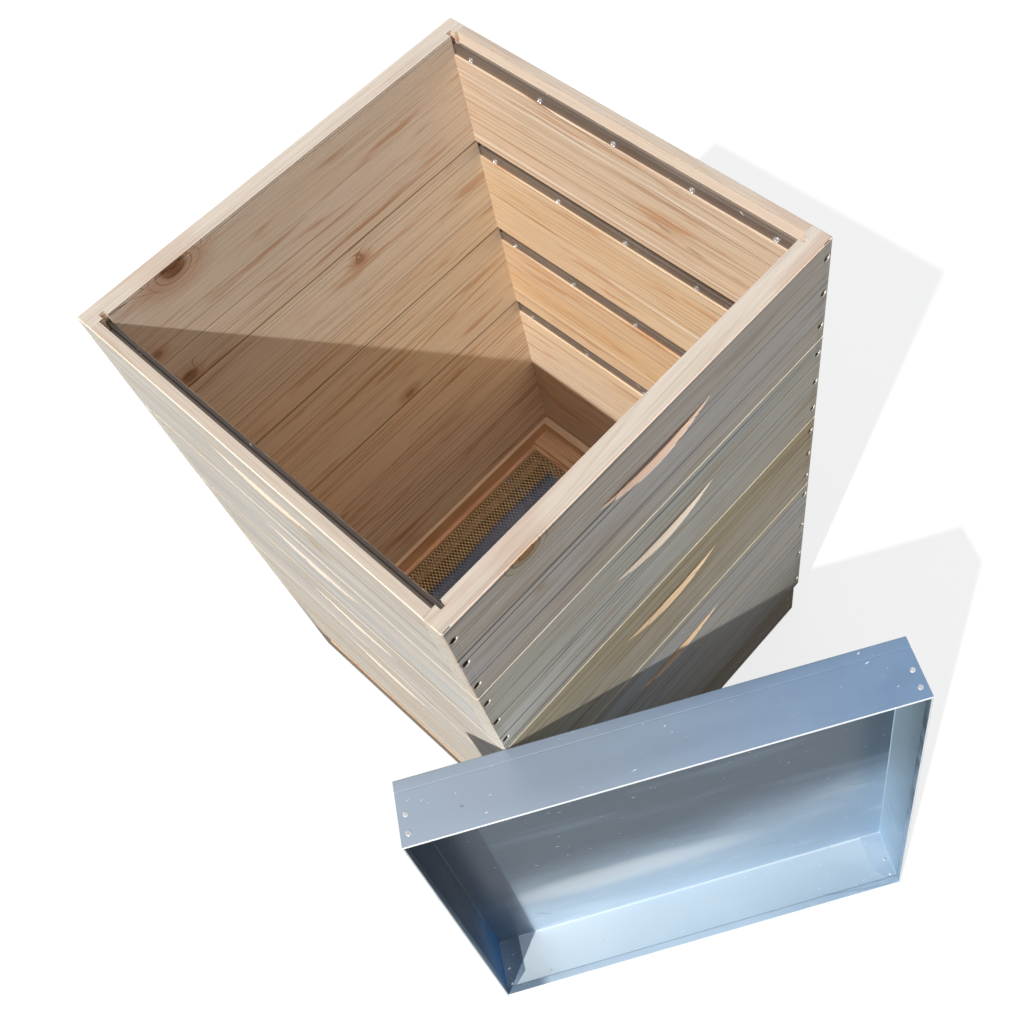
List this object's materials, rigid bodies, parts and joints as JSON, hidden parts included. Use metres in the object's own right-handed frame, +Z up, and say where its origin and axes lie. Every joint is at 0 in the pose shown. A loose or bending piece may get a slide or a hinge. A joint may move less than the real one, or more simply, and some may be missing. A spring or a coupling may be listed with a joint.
{
  "type": "beehive",
  "caption": "Square wooden beehive: deep brood box and shallow supers on a screened floor with a pull-out tray, open at the top, its folded metal lid leaning on one corner.",
  "frame": {"origin": "middle of the hive's square base, on the ground", "axes": "+Z up; -Y is the front, where the entrance is; +X is the right side seen from the front, and the lid leans on the corner between +X and -Y"},
  "size_m": [0.858, 0.6851, 0.833],
  "materials": {
    "pine": "planed, unpainted",
    "floor_pine": "planed, unpainted",
    "rail": "galvanised, dull",
    "mesh": "galvanised expanded metal",
    "tray": "galvanised",
    "lid": "galvanised, bright",
    "fastener": "zinc plated"
  },
  "bodies": {
    "floor": {"floor_left_skid": "floor_pine", "floor_right_skid": "floor_pine", "floor_front_bar": "floor_pine", "floor_back_bar": "floor_pine", "floor_left_rail": "floor_pine", "floor_right_rail": "floor_pine", "floor_back_rail": "floor_pine", "floor_sill": "floor_pine", "floor_batten": "floor_pine", "mesh_panel": "mesh", "mesh_strip_left": "floor_pine", "mesh_strip_right": "floor_pine", "mesh_strip_front": "floor_pine", "mesh_strip_back": "floor_pine", "tray_runner_left": "floor_pine", "tray_runner_right": "floor_pine", "tray_slat": "floor_pine", "floor_screws": "fastener"},
    "brood_box": {"brood_left_side": "pine", "brood_right_side": "pine", "brood_front_board": "pine", "brood_back_board": "pine", "brood_front_rail": "rail", "brood_back_rail": "rail", "brood_rail_screws": "fastener", "brood_corner_screws": "fastener"},
    "super_1": {"super_1_left_side": "pine", "super_1_right_side": "pine", "super_1_front_board": "pine", "super_1_back_board": "pine", "super_1_front_rail": "rail", "super_1_back_rail": "rail", "super_1_rail_screws": "fastener", "super_1_corner_screws": "fastener"},
    "super_2": {"super_2_left_side": "pine", "super_2_right_side": "pine", "super_2_front_board": "pine", "super_2_back_board": "pine", "super_2_front_rail": "rail", "super_2_back_rail": "rail", "super_2_rail_screws": "fastener", "super_2_corner_screws": "fastener"},
    "super_3": {"super_3_left_side": "pine", "super_3_right_side": "pine", "super_3_front_board": "pine", "super_3_back_board": "pine", "super_3_front_rail": "rail", "super_3_back_rail": "rail", "super_3_rail_screws": "fastener", "super_3_corner_screws": "fastener"},
    "tray": {"tray_sheet": "tray", "tray_left_edge": "tray", "tray_right_edge": "tray", "tray_front_edge": "tray", "tray_back_edge": "tray", "tray_grip": "tray"},
    "lid": {"lid_pan": "lid", "lid_rivets": "fastener"}
  },
  "joints": [
    {"name": "brood_lift", "type": "slide", "parent": "floor", "child": "brood_box", "axis": [0, 0, 1], "range_m": [0, 0.4]},
    {"name": "super_1_lift", "type": "slide", "parent": "brood_box", "child": "super_1", "axis": [0, 0, 1], "range_m": [0, 0.3]},
    {"name": "super_2_lift", "type": "slide", "parent": "super_1", "child": "super_2", "axis": [0, 0, 1], "range_m": [0, 0.3]},
    {"name": "super_3_lift", "type": "slide", "parent": "super_2", "child": "super_3", "axis": [0, 0, 1], "range_m": [0, 0.3]},
    {"name": "tray_slide", "type": "slide", "parent": "floor", "child": "tray", "axis": [0, 1, 0], "range_m": [0, 0.42]},
    {"name": "lid_lift", "type": "slide", "parent": "floor", "child": "lid", "axis": [0, 0, 1], "range_m": [0, 0.5]}
  ]
}
